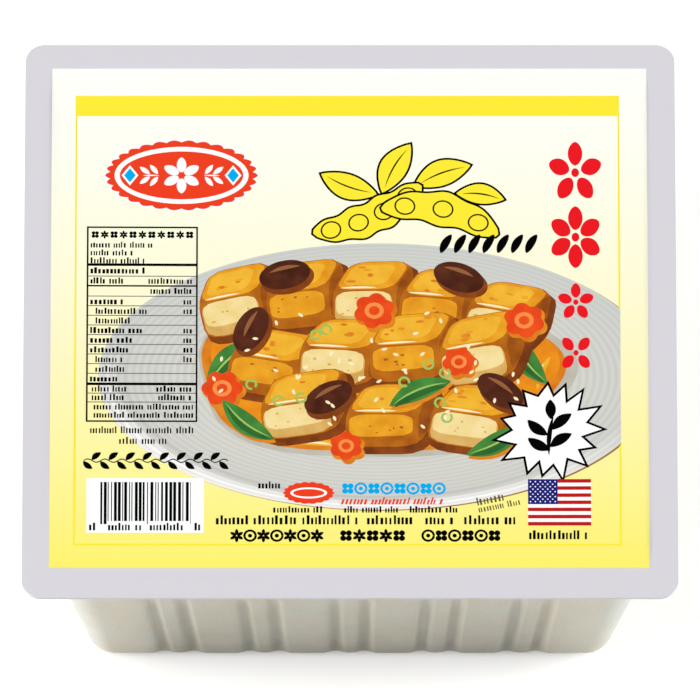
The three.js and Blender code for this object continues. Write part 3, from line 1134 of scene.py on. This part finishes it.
def paint_plate(surface):
    """Pale grey with fine rings. On the side towards the viewer the rim catches the light."""
    across, up = (
        surface.share_along(axis, middle, half)
        for axis, middle, half in zip("XY", PLATE_CENTRE.tolist(), PLATE_HALF.tolist())
    )
    squares = surface.maths("MULTIPLY", across, across), surface.maths("MULTIPLY", up, up)
    reach = surface.maths("SQRT", surface.maths("ADD", *squares))
    towards_light = surface.maths("ADD", up, surface.maths("MULTIPLY", across, 0.35))
    lit = surface.spread(towards_light, 1, 0, -0.75, 0.0)
    far_side = ink_ramp(surface, reach, PLATE_FAR_SHADES)
    plain = surface.blend(lit, far_side, ink_ramp(surface, reach, PLATE_NEAR_SHADES))
    wave = surface.maths("SINE", surface.maths("MULTIPLY", reach, 2 * math.pi * PLATE_RINGS))
    lines = surface.spread(wave, 0, 0.26, -1, 1)
    surface.paint(surface.blend(lines, plain, ink_colour(*PLATE_RING_SHADE)))


PLAIN_INKS = {
    "yellow": (255, 236, 57),
    "white": (255, 255, 255),
    "black": (7, 6, 6),
    "grey_line": (110, 108, 100),
    "grey_text": (96, 90, 60),
    "emblem_red": (239, 65, 35),
    "red": (237, 28, 36),
    "blue": (0, 174, 239),
    "navy": (34, 37, 120),
    "flag_red": (192, 30, 28),
    "plate_rim": (160, 118, 74),
    "leaf_light": (158, 196, 98),
    "carrot_light": (250, 146, 74),
    "brown_light": (150, 96, 60),
    "seed": (255, 240, 196),
}
MOTTLE_SIZE = 3.5
MOTTLED_INKS = {
    "amber": ((240, 152, 34), (226, 130, 28)),
    "amber_deep": ((214, 116, 26), (232, 146, 44)),
    "gold": ((240, 172, 44), (224, 144, 32)),
    "gold_deep": ((196, 116, 30), (166, 88, 24)),
    "gold_light": ((246, 190, 60), (236, 170, 46)),
    "plate_shade": ((186, 182, 166), (198, 195, 182)),
    "crust": ((176, 98, 28), (140, 70, 24)),
    "umber": ((146, 76, 30), (112, 54, 24)),
    "cream": ((248, 226, 164), (240, 212, 136)),
    "cream_deep": ((226, 186, 112), (212, 164, 84)),
    "carrot": ((240, 84, 34), (226, 66, 28)),
    "leaf": ((80, 148, 66), (60, 122, 54)),
    "leaf_dark": ((52, 110, 50), (44, 96, 46)),
    "brown": ((66, 32, 22), (96, 50, 34)),
}


def print_materials():
    """The bare film, the field, the plate and every ink."""
    made = {"film": ink_surface("printed_film", (217, 215, 221))}
    fields = {"field": ((255, 252, 221), paint_field), "plate": ((208, 208, 203), paint_plate)}
    for ink, (colour, paint) in fields.items():
        made[ink] = ink_surface("ink_" + ink, colour)
        paint(made[ink])
    for ink, colour in PLAIN_INKS.items():
        made[ink] = ink_surface("ink_" + ink, colour)
    for ink, (colour, other) in MOTTLED_INKS.items():
        made[ink] = ink_surface("ink_" + ink, colour)
        made[ink].mottled(ink_colour(*other), MOTTLE_SIZE)
    return {ink: surface.material for ink, surface in made.items()}


# ---- floor, light and camera

FLOOR_HALF = 12.0
FLOOR_GLOW = 0.19
SKY_AT_HORIZON = 0.05
SKY_OVERHEAD = 0.56
SOFTBOX_SIZE = 1.3
SOFTBOX_DISTANCE = 2.2
CAMERA_TILT = math.radians(24.3)
CAMERA_LENS = 1000.0
CAMERA_SENSOR = 36.0
IMAGE_SIZE = 700
MM_PER_PIXEL = PACK_LENGTH / 653
AIM_BELOW_LID_CENTRE = 30.4 * MM_PER_PIXEL


def make_floor():
    """A white sheet that glows a little, so that it stays as pale as the photograph's ground."""
    surface = Surface("floor_paper", (0.98, 0.98, 0.98), 0.7, 0.2)
    surface.rough_noise(40.0, 0.65, 0.75)
    surface.settle({"Emission Color": (1, 1, 1, 1), "Emission Strength": FLOOR_GLOW})
    half = FLOOR_HALF / MM
    points = np.column_stack([rectangle(-half, -half, half, half), np.zeros(4)])
    floor = mesh_object("floor", points, [(0, 1, 2, 3)], surface.material)


def aimed(name, data, target, direction, distance):
    """A light or camera at a distance from its target, which it looks at."""
    made = bpy.data.objects.new(name, data)
    made.location = target + direction * distance
    made.rotation_euler = (-direction).to_track_quat("-Z", "Y").to_euler()
    bpy.context.scene.collection.objects.link(made)
    return made


def softbox(name, side, elevation_deg, forward_deg, power):
    """A round softbox aimed at the pack, on one side of it and turned a little to the front."""
    elevation, forward = math.radians(elevation_deg), math.radians(forward_deg)
    direction = Vector((
        side * math.cos(elevation) * math.cos(forward),
        -math.cos(elevation) * math.sin(forward),
        math.sin(elevation),
    ))
    light = bpy.data.lights.new(name, "AREA")
    light.shape = "DISK"
    light.size = SOFTBOX_SIZE
    light.energy = power
    aimed(name, light, Vector((0, 0, 0)), direction, SOFTBOX_DISTANCE)


def make_sky():
    """A soft studio dome, dim at the horizon and bright overhead."""
    world = bpy.data.worlds.new("studio")
    world.use_nodes = True
    tree = world.node_tree
    direction = add_node(tree, "TexCoord", {}, "Generated")
    up = add_node(tree, "SeparateXYZ", {"Vector": direction}, "Z")
    ends = {"To Min": SKY_AT_HORIZON, "To Max": SKY_OVERHEAD}
    background = tree.nodes["Background"].inputs
    background["Color"].default_value = (1, 1, 1, 1)
    strength = add_node(tree, "MapRange", {"Value": up, **ends}, "Result")
    tree.links.new(strength, background["Strength"])
    bpy.context.scene.world = world


def make_light():
    make_sky()
    softbox("high_left_softbox", -1, 52, 6, 12)
    softbox("high_right_softbox", 1, 52, 0, 9)
    softbox("low_left_softbox", -1, 13, 8, 55)
    softbox("low_right_softbox", 1, 13, -2, 46)


def make_camera():
    data = bpy.data.cameras.new("camera")
    data.lens = CAMERA_LENS
    data.sensor_width = CAMERA_SENSOR
    distance = IMAGE_SIZE * MM_PER_PIXEL * MM * CAMERA_LENS / CAMERA_SENSOR
    back = Vector((0, -math.sin(CAMERA_TILT), math.cos(CAMERA_TILT)))
    up = Vector((0, math.cos(CAMERA_TILT), math.sin(CAMERA_TILT)))
    aim = Vector((0, 0, PACK_HEIGHT * MM)) - up * AIM_BELOW_LID_CENTRE * MM
    data.clip_start = 0.1
    data.clip_end = 4 * distance
    bpy.context.scene.camera = aimed("camera", data, aim, back, distance)


# ---- the whole scene


def make_scene():
    make_camera()
    make_light()
    make_floor()
    bpy.context.scene.view_settings.view_transform = "Standard"
    tub = make_tub(tub_material())
    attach(tub, "root")
    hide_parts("tub")
    film, pieces = make_film(make_print(), print_materials())
    for piece in pieces:
        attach(piece, "root")
    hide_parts("lid_film")


make_scene()
